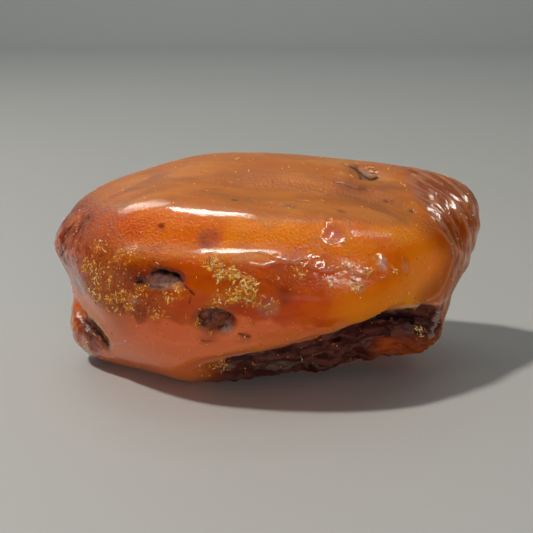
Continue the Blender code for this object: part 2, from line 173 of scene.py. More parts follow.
# Pinkish spots: the dimple's own purple-pink tint, and painted pink sheen beside the ledge highlight and below the
# ridge.
BLUSHES_AND_SHEENS = [
    (8.2, -13.5, 22.1, 1.7, 0.9), (9.8, -12.6, 22.7, 1.5, 0.4), (6.0, -14.8, 21.4, 1.3, 0.35),
    (-7.6, -15.7, 21.9, 1.8, 0.5), (-3.0, -17.2, 20.3, 2.2, 0.45), (0.5, -17.2, 20.4, 2.4, 0.4),
    (3.2, -16.8, 20.2, 1.8, 0.35), (10.6, -15.9, 17.8, 1.4, 0.4), (2.2, -10.0, 25.0, 1.2, 0.4),
]

# Lines on the skin: the worn crests, the cracks along the ledge, and the fold inside the wrinkled end.
RIDGE = [(-24.5, -4.5, 22.7), (-22.7, -5.8, 23.7), (-20.3, -8.2, 24.5), (-18.1, -10.0, 25.0), (-15.3, -11.4, 25.3),
         (-12.7, -12.3, 25.3), (-10.1, -13.0, 25.1), (-7.6, -13.1, 25.0), (-3.2, -12.8, 24.8)]
LEDGE = [(-17.7, -14.6, 20.5), (-15.7, -15.5, 20.6), (-13.7, -16.2, 20.7), (-9.9, -17.0, 20.5), (-6.2, -17.0, 20.5),
         (-1.5, -17.1, 20.3), (1.5, -17.5, 19.8)]
LEDGE_CRACK = [(-2.5, -17.9, 19.3), (-1.0, -18.0, 19.0), (0.6, -17.7, 19.4), (2.2, -17.6, 19.4), (3.7, -17.4, 19.1),
               (4.7, -17.3, 18.9), (5.9, -17.1, 18.3), (7.5, -16.8, 18.0), (8.8, -16.1, 18.3), (9.7, -15.7, 18.3),
               (10.3, -15.8, 17.7), (11.1, -15.7, 17.3), (12.2, -15.3, 17.1), (12.9, -14.7, 17.4)]
UPPER_CRACK = [(-1.4, -16.9, 20.4), (0.0, -17.1, 20.2), (0.6, -17.4, 19.9), (1.5, -17.5, 19.6), (2.7, -17.4, 19.4),
               (4.3, -16.8, 19.5), (5.6, -16.4, 19.8)]
INNER_CREST = [(22.6, -4.6, 21.2), (23.9, -3.9, 19.7), (25.0, -3.2, 18.0), (25.3, -3.0, 16.5), (25.0, -3.3, 14.9),
               (24.3, -4.0, 13.0), (23.0, -5.2, 11.7), (21.5, -6.6, 11.1)]
# Slits and cracks as (line, width, depth, strength). They are cut in and painted near-black: painted shade in the
# recesses under their lips.
SLITS = [
    ([(-14.7, -15.9, 17.6), (-14.2, -16.0, 17.8), (-13.2, -16.2, 17.9), (-12.3, -16.5, 17.8), (-11.4, -17.0, 17.5)],
     0.32, 0.7, 1.0),
    ([(-16.8, -16.2, 16.4), (-15.6, -15.9, 16.7), (-14.9, -15.8, 17.2)], 0.17, 0.3, 0.6),
    ([(-11.4, -17.0, 17.5), (-10.9, -17.6, 17.1), (-10.7, -18.0, 16.7)], 0.15, 0.3, 0.6),
    ([(-15.7, -16.2, 16.2), (-14.6, -16.9, 16.1), (-13.4, -17.4, 16.2)], 0.18, 0.2, 0.5),
    ([(-10.7, -18.1, 16.7), (-10.0, -18.9, 16.3), (-9.4, -19.0, 15.7)], 0.13, 0.15, 0.8),
    ([(-9.8, -19.0, 15.5), (-10.0, -18.9, 14.5)], 0.10, 0.1, 0.6),
    ([(-8.8, -17.8, 12.5), (-7.9, -18.6, 13.6), (-6.9, -18.9, 13.9), (-5.9, -18.6, 13.5), (-5.2, -17.4, 12.6)],
     0.25, 0.4, 0.5),
    ([(-8.4, -17.6, 11.4), (-7.4, -17.5, 12.0), (-6.6, -17.6, 11.2), (-5.6, -17.8, 11.6)], 0.25, 0.3, 0.5),
    ([(-3.9, -17.8, 10.2), (-3.3, -17.3, 9.9), (-2.7, -17.3, 9.7)], 0.22, 0.25, 0.6),
    ([(-8.5, -17.2, 9.1), (-8.0, -17.2, 9.0), (-7.5, -17.3, 9.1)], 0.2, 0.1, 0.5),
    ([(10.4, 3.4, 28.3), (11.6, 2.6, 27.9), (12.8, 2.2, 27.2), (14.0, 1.2, 26.4), (15.0, 1.9, 26.6)], 0.28, 0.35, 0.8),
    ([(12.4, 2.5, 27.5), (12.7, 1.2, 27.0), (12.6, 0.0, 26.6)], 0.25, 0.2, 0.6),
    ([(8.9, -2.1, 26.7), (10.2, -2.3, 26.4), (11.6, -2.7, 26.0), (13.2, -2.5, 25.6)], 0.25, 0.1, 0.4),
    ([(-28.2, -2.7, 19.5), (-27.6, -2.9, 20.3), (-26.9, -3.2, 21.1)], 0.26, 0.3, 0.7),
    ([(-28.8, -2.4, 16.4), (-28.2, -3.4, 17.2), (-27.4, -4.6, 18.3), (-26.8, -4.8, 19.2)], 0.22, 0.2, 0.8),
    ([(-25.2, -7.7, 19.9), (-24.8, -6.3, 21.5), (-24.1, -5.2, 22.8)], 0.14, 0.1, 0.6),
    ([(-26.4, -2.6, 7.5), (-25.4, -3.7, 7.1), (-24.4, -5.0, 6.8), (-23.2, -6.5, 6.2), (-22.2, -7.8, 5.2)],
     0.3, 0.45, 0.9),
    ([(-25.9, -3.5, 6.2), (-24.8, -5.0, 5.7), (-23.8, -6.2, 5.0), (-23.2, -6.7, 4.0)], 0.2, 0.25, 0.6),
    ([(-26.4, -3.6, 5.6), (-25.4, -4.4, 4.8), (-24.6, -5.0, 3.6)], 0.15, 0.2, 0.5),
    ([(15.2, -5.8, 8.6), (16.6, -5.4, 8.6), (18.0, -5.0, 8.4), (19.4, -5.1, 8.0)], 0.5, 0.5, 0.9),
    ([(-5.6, -12.4, 4.9), (-1.0, -10.9, 4.9), (4.0, -10.2, 5.5), (9.5, -8.5, 6.4)], 0.35, 0.2, 0.6),
]
# Raised folds, in the same form. They are painted pale: painted glints along their lips and along the ledge cracks.
FOLDS = [
    ([(-26.2, -3.4, 8.3), (-24.6, -6.4, 8.5), (-22.9, -8.6, 8.3), (-21.7, -9.7, 7.4), (-21.3, -9.3, 5.9),
      (-21.6, -8.2, 4.6)], 0.28, 0.12, 0.6),
    ([(-21.6, -9.0, 6.0), (-19.6, -11.2, 6.6), (-17.6, -12.8, 7.0)], 0.20, 0.05, 0.3),
    ([(3.9, -15.7, 20.8), (5.8, -15.0, 21.0), (7.6, -14.6, 20.9)], 0.16, 0.07, 0.35),
    ([(4.6, -15.0, 21.5), (6.4, -14.4, 21.5)], 0.15, 0.05, 0.3),
    ([(9.8, -13.0, 22.3), (11.2, -12.6, 22.2)], 0.15, 0.05, 0.25),
    ([(7.2, -14.4, 21.3), (8.2, -14.5, 20.9), (9.2, -14.0, 21.2), (9.6, -13.4, 21.8)], 0.14, 0.14, 0.4),
    ([(17.0, -11.8, 18.4), (17.6, -11.5, 17.0), (17.4, -11.7, 15.6)], 0.14, 0.08, 0.35),
    ([(18.4, -10.9, 17.6), (18.6, -10.8, 16.4)], 0.14, 0.06, 0.3),
    ([(23.6, -4.3, 10.2), (23.2, -5.0, 8.0), (22.4, -5.5, 5.9)], 0.55, 0.08, 0.6),
    (LEDGE_CRACK, 0.10, 0.02, 0.4),
    (UPPER_CRACK, 0.09, 0.02, 0.3),
    ([(10.6, -15.6, 18.6), (11.2, -15.3, 18.2), (12.0, -14.9, 18.6), (12.6, -14.6, 18.3)], 0.14, 0.08, 0.5),
    ([(13.2, -14.1, 18.5), (14.0, -13.6, 18.7), (14.9, -13.2, 18.4)], 0.30, 0.06, 0.8),
    ([(15.4, -13.0, 17.0), (15.9, -12.9, 16.4)], 0.16, 0.08, 0.6),
]
# A burst bubble: where it is, its radius, and how high its rim and how deep its middle is.
BUBBLE = (14.0, -14.1, 17.2)
BUBBLE_RADIUS = 0.85
BUBBLE_RIM, BUBBLE_DIP = 0.22, 0.12

# How far parts of the skin stand out, in mm.
CREST_HEIGHT, WRINKLE_SINK, INNER_CREST_HEIGHT, LIP_EDGE_HEIGHT = 0.26, 0.12, 0.16, 0.05
FACET_HEIGHT, FACET_GRAIN = 1.1, 0.22
CRACK_STEPS = ((LEDGE_CRACK, 0.16), (UPPER_CRACK, 0.10))
# Coarse and fine lumps of some finishes, each as (height, spacing, shift).
LUMPS = {
    "pit": ((0.18, 0.9, 0.0), (0.10, 0.45, 0.0)), "nose": ((0.14, 1.4, 6.0), (0.08, 0.7, 0.0)),
    "lobe": ((0.25, 1.8, 61.0), (0.10, (0.6, 0.6, 1.5), 0.0)),
    "wet": ((0.006, (1.2, 0.5, 0.5), 0.0), (0.010, 0.35, 2.0)), "bark": ((0.03, 0.9, 0.0), (0.02, 0.4, 3.0)),
}
# What the skin's finish is mixed from, painted light and shade among it; dress() gives each its share of every point.
FINISHES = ("torn", "pit", "bruise", "crust", "pale", "crest", "dark", "nose", "wrinkled", "smoky", "deep", "bowl",
            "foot", "gleam", "blush_and_sheen", "wet", "belly", "lobe", "haze", "bark", "clear")

# Noise in the amber: how far apart its clouds are in mm, its detail and distortion, and whether it is drawn out
# along X. The real grit and pores are finer than speck and pore, which are as coarse as they need to be to show.
AMBER_NOISES = {
    "drift": (9.0, 2.0, 0.6, False), "streak": (2.4, 3.0, 0.8, True), "veil": (4.6, 3.0, 1.0, True),
    "speck": (0.35, 2.0, 0.0, False), "mottle": (1.6, 4.0, 1.2, False), "patch": (3.1, 3.0, 0.0, False),
    "fibre": (0.6, 3.0, 1.0, False), "layer": (1.4, 4.0, 0.5, True), "stain": (2.6, 4.0, 0.8, True),
    "worm": (0.8, 1.0, 0.8, False), "small_worm": (0.5, 1.0, 0.8, False), "pore": (0.38, 2.0, 0.0, False),
    "lump": (0.9, 4.0, 0.0, False),
}
# Grains that lie this far apart, in mm. Real dust is finer: it is drawn about 0.1 mm wide, so that it shows.
AMBER_GRAINS = {"dust": 0.75, "dot": 1.7, "chip": 1.1}
# Steps: what each is made from, the two ends that it runs between, and its value at each.
AMBER_STEPS = {
    "drifting": ("drift", 0.4, 0.6, 0.0, 1.0), "streaky": ("streak", 0.3, 0.7, 0.7, 1.0),
    "smoke_streak": ("streak", 0.35, 0.7, 0.0, 0.92), "smoke_veil": ("veil", 0.48, 0.8, 0.0, 0.9),
    "left_sheen_mottle": ("mottle", 0.4, 0.6, 0.35, 0.9), "nose_mottle": ("mottle", 0.42, 0.6, 0.0, 0.9),
    "bruise_streak": ("streak", 0.35, 0.6, 0.5, 1.0), "bark_speck": ("speck", 0.42, 0.6, 0.0, 0.8),
    "bark_mottle": ("mottle", 0.4, 0.6, 0.3, 0.8), "crust_speck": ("speck", 0.4, 0.6, 0.0, 0.75),
    "rust_layer": ("layer", 0.45, 0.62, 0.0, 1.0), "rust_stain": ("stain", 0.55, 0.68, 0.0, 0.8),
    "soot_fibre": ("fibre", 0.4, 0.7, 0.0, 1.0), "pale_speck": ("speck", 0.35, 0.6, 0.4, 1.0),
    "dusting": ("dust", 0.10, 0.2, 0.6, 0.0), "dotting": ("dot", 0.05, 0.10, 0.8, 0.0),
    "chipping": ("chip", 0.09, 0.16, 0.9, 0.0),
    "dusty": ("mottle", 0.45, 0.6, 0.0, 1.0), "patchy": ("patch", 0.46, 0.58, 0.0, 1.0),
    "golden": ("crust", 0.2, 0.7, 0.0, 0.6), "foot_stain": ("stain", 0.35, 0.6, 0.9, 0.4),
}
# Sums of the values above and of numbers. Worms are thin lines where noise comes close to its middle.
AMBER_SUMS = {
    "worms": ("COMPARE", "worm", 0.5, 0.03), "small_worms": ("COMPARE", "small_worm", 0.5, 0.03),
    "gold": ("MAXIMUM", "worms", "small_worms"), "gilt": ("MULTIPLY", "golden", "gold"),
    "crumbly": ("MULTIPLY", "gold", "crust"), "snout": ("MAXIMUM", "nose", "lobe"),
    "strewn_dust": ("MULTIPLY", "dusting", "dusty"), "strewn_dots": ("MULTIPLY", "dotting", "patchy"),
    "broken": ("MAXIMUM", "torn", "pit"), "dull": ("MAXIMUM", "broken", "dark"),
    "coarse": ("MAXIMUM", "dull", "crust"), "blocked": ("MULTIPLY", "coarse", 0.85),
    "soaking": ("SUBTRACT", 1.0, "blocked"), "hazy": ("MULTIPLY", "smoky", 0.1),
    "matt": ("MULTIPLY_ADD", "dull", 0.35, 0.3), "rough": ("ADD", "matt", "hazy"),
    "whole": ("MULTIPLY_ADD", "dull", -0.65, 1.0), "polish": ("MULTIPLY", "whole", "gleam"),
}
# The colours laid over one another on the base: each with where it lies, and how strongly.
AMBER_BASE = "#f08c08"
AMBER_LAYERS = (
    # Painted light: the brighter layer on the lower right flank stands in for light that the key from the left does not
    # give it.
    ("#e07404", "drifting", 1.0), ("#f88c08", "clear", 0.6), ("#b83c02", "deep", "streaky"),
    # Painted light: the paler, pinker layer on the underside stands in for fill light and the floor's reflection.
    # Painted shade: the darker layer on the top, where the broad form faces upwards, darkens it beyond its smoke
    # streaks and veils.
    ("#ec7434", "belly", "streaky"), ("#bc6a26", "smoky", 0.92), ("#d4802e", "smoky", "smoke_streak"),
    # Painted reflection: the pinkish-brown layer on the upper left shoulder stands in for the sheen of a soft light.
    ("#9a562a", "smoky", "smoke_veil"), ("#a86048", "haze", "left_sheen_mottle"), ("#983e08", "bark", "bark_mottle"),
    # Painted sheen: the pinkish layer is the dimple's own tint, and painted sheen beside the ledge.
    ("#70240c", "bark", "bark_speck"), ("#c4786c", "blush_and_sheen", 0.85), ("#a44c06", "bowl", 1.0),
    # Painted highlight: the pale layer on the fold crests of the wrinkled end and on its inner crest stands in for
    # glints.
    ("#843c10", "wrinkled", 0.85), ("#c88868", "crest", 0.6), ("#8a3c2a", "snout", 0.9),
    ("#cc7450", "snout", "nose_mottle"), ("#66180c", "bruise", "bruise_streak"), ("#f4b860", "bark", "dusting"),
    ("#f4b860", "strewn_dust", 1.0), ("#c05a14", "belly", "chipping"), ("#6a2408", "strewn_dots", 1.0),
    ("#e88818", "crust", 0.75), ("#8a3410", "crust", "crust_speck"), ("#f0b850", "gilt", 1.0),
    ("#3e1a18", "torn", 1.0), ("#643830", "torn", "rust_layer"), ("#66584e", "torn", "rust_stain"),
    ("#b04a10", "foot", "foot_stain"), ("#40201a", "pit", 1.0), ("#88645a", "pit", "soot_fibre"),
    # Painted highlight: the pale layer is frost in places, and painted glints on the folds, cracks, bubble top and the
    # lip over the break.
    # Painted shade: the near-black layer fills the slits and cracks.
    ("#c4a498", "pale", "pale_speck"), ("#120a08", "dark", 1.0),
)
# Relief too fine for the skin: what it is made from, where it lies, its strength from none of that to all of it,
# and its height in mm. It is grit all over, pores in the gloss, lumps in the dull parts and worms in the crust.
AMBER_RELIEF = (
    ("speck", "wet", 0.3, 0.6, 0.04), ("pore", "wet", 0.1, 1.0, 0.24), ("lump", "dull", 0.2, 1.0, 0.12),
    ("crumbly", "crust", 0.0, 0.8, 0.12),
)


def linear(code, alpha=1.0):
    """The linear colour of an sRGB hex code."""
    parts = [int(code[i : i + 2], 16) / 255 for i in (1, 3, 5)]
    return tuple(c / 12.92 if c <= 0.04045 else ((c + 0.055) / 1.055) ** 2.4 for c in parts) + (alpha,)


def even_copy(node):
    """The node's surface as an even grid: points in mm, and quads."""
    form = bmesh.new()
    form.from_mesh(node.data)
    bmesh.ops.remove_doubles(form, verts=form.verts, dist=WELD)
    mesh = bpy.data.meshes.new("even_copy")
    form.to_mesh(mesh)
    form.free()
    thing = bpy.data.objects.new("even_copy", mesh)
    bpy.context.scene.collection.objects.link(thing)
    evened = thing.modifiers.new("evened", "REMESH")
    evened.mode = "VOXEL"
    evened.voxel_size = SKIN_GRAIN * MM
    graph = bpy.context.evaluated_depsgraph_get()
    even = bpy.data.meshes.new_from_object(thing.evaluated_get(graph))
    bpy.data.objects.remove(thing)
    points = np.empty(3 * len(even.vertices))
    even.vertices.foreach_get("co", points)
    return points.reshape(-1, 3) / MM, [tuple(face.vertices) for face in even.polygons]


class Skin:
    """Points in mm and the faces over them, with what is needed to smooth and shift them."""

    def __init__(self, points, faces):
        self.points, self.faces = points, faces
        links = {(min(a, b), max(a, b)) for face in faces for a, b in zip(face, face[1:] + face[:1])}
        self.links = np.array(sorted(links))
        self.fans = np.array([(face[0], b, c) for face in faces for b, c in zip(face[1:], face[2:])])
        self.degree = np.bincount(self.links.ravel(), minlength=len(points))[:, None]

    def spread(self, values):
        """The mean of each point's neighbours."""
        here, there = self.links.T
        count = len(self.points)
        columns = [
            np.bincount(here, column[there], count) + np.bincount(there, column[here], count)
            for column in values.T
        ]
        return np.column_stack(columns) / self.degree

    def detail(self):
        """Which points lie so near small features that they need the finest grain."""
        close = spots(self.points, DARK_PITS) > 0.05
        lines = [stroke[0] for stroke in SLITS + FOLDS] + [INNER_CREST]
        for line in lines:
            close |= from_line(self.points, line)[0] < NEAR_DETAIL
        for *middle, radius, _ in [*HOLLOWS, (*BUBBLE, BUBBLE_RADIUS, 0.0)]:
            close |= np.linalg.norm(self.points - middle, axis=1) < 1.5 * radius
        return close

    def soften(self, rounds, share=0.5, back=0.48):
        """Takes each point this share of the way to its neighbours, then back a little, so that nothing shrinks."""
        for _ in range(rounds):
            self.points = self.points + share * (self.spread(self.points) - self.points)
            self.points = self.points - back * (self.spread(self.points) - self.points)

    def normals(self):
        a, b, c = (self.points[self.fans[:, i]] for i in range(3))
        across = np.cross(b - a, c - a)
        total = np.column_stack([
            sum(np.bincount(self.fans[:, i], across[:, axis], len(self.points)) for i in range(3))
            for axis in range(3)
        ])
        return total / np.maximum(np.linalg.norm(total, axis=1), 1e-12)[:, None]

    def split(self, chosen):
        """A finer skin, in which each chosen quad is four, and its neighbours take in the new points."""
        middles, points, faces = {}, list(self.points), []
        for face in (self.faces[row] for row in np.flatnonzero(chosen)):
            for a, b in zip(face, face[1:] + face[:1]):
                if (min(a, b), max(a, b)) not in middles:
                    middles[min(a, b), max(a, b)] = len(points)
                    points.append((self.points[a] + self.points[b]) / 2)
        for face, whole in zip(self.faces, ~chosen):
            ring = []
            for a, b in zip(face, face[1:] + face[:1]):
                middle = middles.get((min(a, b), max(a, b)))
                ring += [a] if middle is None else [a, middle]
            if whole:
                faces.append(tuple(ring))
                continue
            points.append(self.points[list(face)].mean(axis=0))
            centre = len(points) - 1
            faces += [(ring[i], ring[i + 1], centre, ring[i - 1]) for i in range(0, len(ring), 2)]
        return Skin(np.array(points), faces)


def smooth_step(values, low, high):
    t = np.clip((values - low) / (high - low), 0.0, 1.0)
    return t * t * (3 - 2 * t)


def roll(points, spacing, shift=0.0, where=None):
    """Soft noise from -1 to 1, or 0 outside where. Its lumps are this far apart in mm, as one number or three."""
    level = np.zeros(len(points))
    chosen = slice(None) if where is None else where > 0.0
    level[chosen] = [noise.noise(Vector(point)) for point in (points / spacing + shift)[chosen]]
    return level


def threads(points, spacing, width, shift, where):
    """Winding threads from 0 to 1, where soft noise crosses zero."""
    return 1.0 - smooth_step(np.abs(roll(points, spacing, shift, where)), 0.0, width)


def spots(points, places):
    """Soft spots from 0 to 1, each strongest at its place."""
    level = np.zeros(len(points))
    for x, y, z, radius, strength in places:
        away = np.linalg.norm(points - (x, y, z), axis=1) / radius
        level = np.maximum(level, strength * (1.0 - smooth_step(away, 0.35, 1.25)))
    return level


def from_line(points, line):
    """How far each point is from this line, and how far it is above the nearest part of it."""
    near, above = np.full(len(points), 1e9), np.zeros(len(points))
    for a, b in zip(np.array(line), np.array(line[1:])):
        t = np.clip((points - a) @ (b - a) / ((b - a) @ (b - a)), 0.0, 1.0)[:, None]
        away = points - (a + t * (b - a))
        length = np.linalg.norm(away, axis=1)
        above = np.where(length < near, away[:, 2], above)
        near = np.minimum(near, length)
    return near, above


def drawn(points, strokes):
    """How strongly these strokes mark each point, and how deep or high they are there."""
    mark, height = np.zeros(len(points)), np.zeros(len(points))
    wobble = 1.0 + 0.9 * roll(points, 0.8, 11.0, -points[:, 1])
    for line, width, most, strength in strokes:
        away = from_line(points, line)[0] / (width * np.maximum(wobble, 0.2))
        mark = np.maximum(mark, strength * (1.0 - smooth_step(away, 0.5, 1.3)))
        height = np.maximum(height, most * (1.0 - smooth_step(away, 0.1, 1.4)))
    return mark, height


def smooth_away_facets(skin):
    """Evens out the CAD solid's facets, but spares its creases and rims."""
    skin.soften(CREASE_ROUNDS)
    facing = skin.normals()
    turn = np.linalg.norm(skin.spread(facing) - facing, axis=1)[:, None]
    for _ in range(2):
        turn = np.maximum(turn, skin.spread(turn))
    crease = smooth_step(turn[:, 0], *CREASE_TURN)[:, None]
    for _ in range(2):
        crease = skin.spread(crease)
    kept = skin.points.copy()
    skin.soften(SMOOTHING_ROUNDS)
    skin.points = skin.points + crease * (kept - skin.points)


def fine_skin(node):
    skin = Skin(*even_copy(node))
    smooth_away_facets(skin)
    facing = skin.normals() @ np.array([0.0, -math.cos(CAMERA_RISE), math.sin(CAMERA_RISE)])
    front = facing > FRONT_FACING
    chosen = np.array([front[list(face)].all() and skin.points[face[0]][2] > 0.01 for face in skin.faces])
    skin = skin.split(chosen)
    skin.soften(FINE_ROUNDS)
    close = skin.detail()
    chosen = np.array([len(face) == 4 and close[list(face)].all() for face in skin.faces])
    skin = skin.split(chosen)
    skin.soften(1)
    return skin


def broken_face(p):
    """How high the lip over the break is at each point, and each point's share of the break."""
    x, y, z = p.T
    lip, heel = np.interp(x, *zip(*LIP)), np.interp(x, *zip(*HEEL))
    ragged = 0.25 * roll(p, 1.1) + 0.5 * roll(p, 3.0)
    under = smooth_step(lip - 0.15 + 0.2 * ragged - z, 0.0, 0.35) * smooth_step(z - heel, -0.2, 0.4)
    torn = under * smooth_step(x + 2.0 * ragged, -11.0, -4.5) * smooth_step(-x, -24.6, -23.4)
    return lip, torn * smooth_step(-y, -2.0, 1.5)


def blemishes(p, torn):
    """The finishes that lie in spots, some with painted light and shade in them, each broken up by noise."""
    names = ("pit", "bruise", "crust", "pale", "blush_and_sheen", "bowl")
    places = (DARK_PITS, BRUISES, CRUSTS, PALE_FILMS_AND_GLINTS, BLUSHES_AND_SHEENS, BOWLS)
    share = {name: spots(p, where) for name, where in zip(names, places)}
    share["pit"] = np.minimum(share["pit"], 0.95) * (0.85 + 0.4 * roll(p, 0.9, 0.0, share["pit"]))
    share["bruise"] *= 0.75 + 0.7 * roll(p, 1.3, 3.0, share["bruise"])
    clots = 0.8 + 0.9 * roll(p, 1.5, 7.0, share["crust"]) + 0.4 * roll(p, 0.6, 0.0, share["crust"])
    share["crust"] *= clots * (1.0 - 0.7 * torn)
    share["blush_and_sheen"] *= 0.8 + 0.6 * roll(p, 1.0, 5.0, share["blush_and_sheen"])
    return share


def wrinkles(p, torn):
    """The wrinkled end, and the crests of its folds and of the furrows between them; the crests are raised, and painted
    pale as a painted highlight.
    """
    x, y, z = p.T
    middle_x, middle_z = WRINKLE_CENTRE
    reach = np.hypot(x - middle_x, z - middle_z)
    arc = np.column_stack([reach + 0.3 * y, 12.0 * np.arctan2(z - middle_z, x - middle_x), y])
    arc += 0.28 * np.column_stack([roll(p, 2.2, i * 9.0) for i in range(3)])
    wrinkled = smooth_step(reach + 0.4 * roll(p, 2.0), *WRINKLE_REACH) * smooth_step(x + 0.2 * z, 23.5, 26.0)
    wrinkled *= 1.0 - torn
    folds = 1.0 - 2.6 * np.abs(roll(arc, (1.3, 7.5, 7.5), 0.0, wrinkled))
    furrows = 1.0 - 2.6 * np.abs(roll(arc, (0.65, 3.4, 3.4), 5.0, wrinkled))
    return {"wrinkled": wrinkled, "crest": smooth_step(0.6 * folds + 0.5 * furrows, 0.15, 0.85) * wrinkled}


def broad_zones(p, up, share):
    """The finishes that cover whole sides of the stone, several of them painted light and shade; up tells how far the
    broad form faces upwards.
    """
    x, y, z = p.T
    nose = smooth_step(-x + 1.2 * roll(p, 2.0, 0.0, -x - 18.0), 21.5, 27.4) * smooth_step(z, 11.0, 15.5)
    lobe = smooth_step(-x, 22.5, 24.0) * smooth_step(-z, -8.5, -7.0)
    # The top, where the broad form faces upwards: smoke clouds in the amber, and painted shade that darkens it.
    smoky = smooth_step(up + 0.05 * roll(p, 4.0), 0.72, 0.9)
    wet = smooth_step(up, 0.25, 0.5) * smooth_step(-up, -0.95, -0.88) * smooth_step(-y, 1.0, 5.0)
    # Painted reflection: a pinkish-brown sheen painted on the upper left shoulder.
    haze = smooth_step(-x + 1.5 * roll(p, 3.0, 71.0), 16.5, 22.0) * smooth_step(z, 13.0, 19.0) * (1.0 - 0.6 * smoky)
    bark = smooth_step(-x + 1.6 * roll(p, 2.5, 81.0), 11.5, 15.5) * smooth_step(z + roll(p, 1.5), 9.0, 12.0)
    bark *= smooth_step(-z + 1.2 * roll(p, 2.0), -21.5, -18.0) * smooth_step(-y, 0.0, 6.0)
    deep = smooth_step(20.2 + 0.6 * roll(p, 3.0) - z, -0.5, 1.5) * (1.0 - smoky)
    deep *= 1.0 - 0.8 * smooth_step(x + roll(p, 4.0), 5.0, 12.0)
    deep = np.maximum(deep, 0.6 * smooth_step(-x + 2.0 * roll(p, 3.0), 12.0, 17.0) * (1.0 - smoky))
    foot = share["torn"] * smooth_step(x, 13.0, 16.0) * smooth_step(-z + 0.5 * roll(p, 2.0), -6.2, -5.0)
    # Painted light: below this line the colour is painted paler, for the fill light and floor reflection that the
    # underside gets.
    belly = smooth_step(np.interp(x, *zip(*LIT_BELLY)) + 1.4 * roll(p, 2.2, 51.0) + 0.5 * roll(p, 0.9) - z, 0.0, 1.1)
    belly *= 1.0 - share["torn"]
    # Painted light: the lower right flank is painted brighter, for light it lacks from the key on the left; its gloss
    # is lowered too.
    clear = smooth_step(x, 0.0, 6.0) * smooth_step(-z, -22.0, -17.0) * (1.0 - share["wrinkled"])
    sparkling = np.minimum(from_line(p, LEDGE_CRACK)[0], np.linalg.norm(p - BUBBLE, axis=1))
    clear *= (1.0 - belly) * smooth_step(sparkling, 0.6, 2.2)
    return {"nose": nose, "lobe": lobe, "smoky": smoky, "wet": wet, "haze": haze, "bark": bark, "deep": deep,
            "foot": foot, "belly": belly, "clear": clear}


def gleaming(p, share):
    """How much natural polish is left: most on the worn crests and rims, little on the smoky top."""
    y, z = p[:, 1], p[:, 2]
    smoky, clear, bowl, crest, wrinkled = (share[name] for name in ("smoky", "clear", "bowl", "crest", "wrinkled"))
    low_front = smooth_step(-z, -19.6, -18.0) * smooth_step(z, 10.0, 13.0) * smooth_step(-y, 6.0, 9.0)
    worn = np.minimum(from_line(p, RIDGE)[0] * (1.0 + 0.3 * roll(p, 1.6)), 1.4 * from_line(p, LEDGE)[0])
    for *middle, radius, _ in HOLLOWS[:GLEAMING_HOLLOWS]:
        worn = np.minimum(worn, np.linalg.norm(p - middle, axis=1) - 0.6 * radius)
    worn = np.exp(-((np.clip(np.minimum(worn, 1.7 * from_line(p, LEDGE_CRACK)[0]), 0.0, None) / 1.1) ** 2))
    shoulder = smooth_step(z, 17.0, 18.5) * smooth_step(-y, 2.0, 5.0) * (1.0 - wrinkled)
    gleam = (1.0 - 0.85 * smoky * (1.0 - worn)) * (1.0 - 0.9 * clear * (1.0 - worn)) * (1.0 - 0.5 * low_front)
    gleam *= (1.0 - 0.92 * shoulder * (1.0 - worn)) * (1.0 - 0.8 * bowl * (1.0 - wrinkled))
    return gleam * (1.0 - 0.45 * wrinkled * (1.0 - crest))


def dents(p):
    """The relief of each hollow and prick: a raised rim round a dip."""
    dice = np.random.default_rng(PRICK_SEED)
    pricks = p[dice.integers(len(p), size=STRAY_PRICKS)]
    radii = dice.uniform(*PRICK_RADIUS, STRAY_PRICKS)
    uneven = 1.0 + 0.25 * roll(p, 0.8, 21.0)
    strays = [(*spot, radius, PRICK_DEPTH * radius) for spot, radius in zip(pricks, radii)]
    for *middle, radius, dent in HOLLOWS + strays:
        away = np.linalg.norm(p - middle, axis=1) / radius * uneven
        yield dent * (0.2 * np.exp(-(((away - 1.15) / 0.25) ** 2)) - (1.0 - smooth_step(away, 0.1, 1.1)))


def cracks(p):
    """The relief of each crack: a step up on its upper side, and a thin lip along it."""
    for line, step in CRACK_STEPS:
        away, above = from_line(p, line)
        near = 2.5 - away
        side = smooth_step(above + 0.05 * roll(p, 0.8, 0.0, near), -0.08, 0.08)
        yield step * side * np.exp(-away / 0.9) - 0.5 * step * (1 - side) * np.exp(-away / 0.35)
        yield 0.9 * step * np.exp(-((away / 0.16) ** 2)) * (1.0 + 0.8 * roll(p, 1.0, 31.0, near))


def lumps(p, name, share):
    (high, wide, shift), (low, fine, fine_shift) = LUMPS[name]
    return share * (high * roll(p, wide, shift, share) + low * roll(p, fine, fine_shift, share))


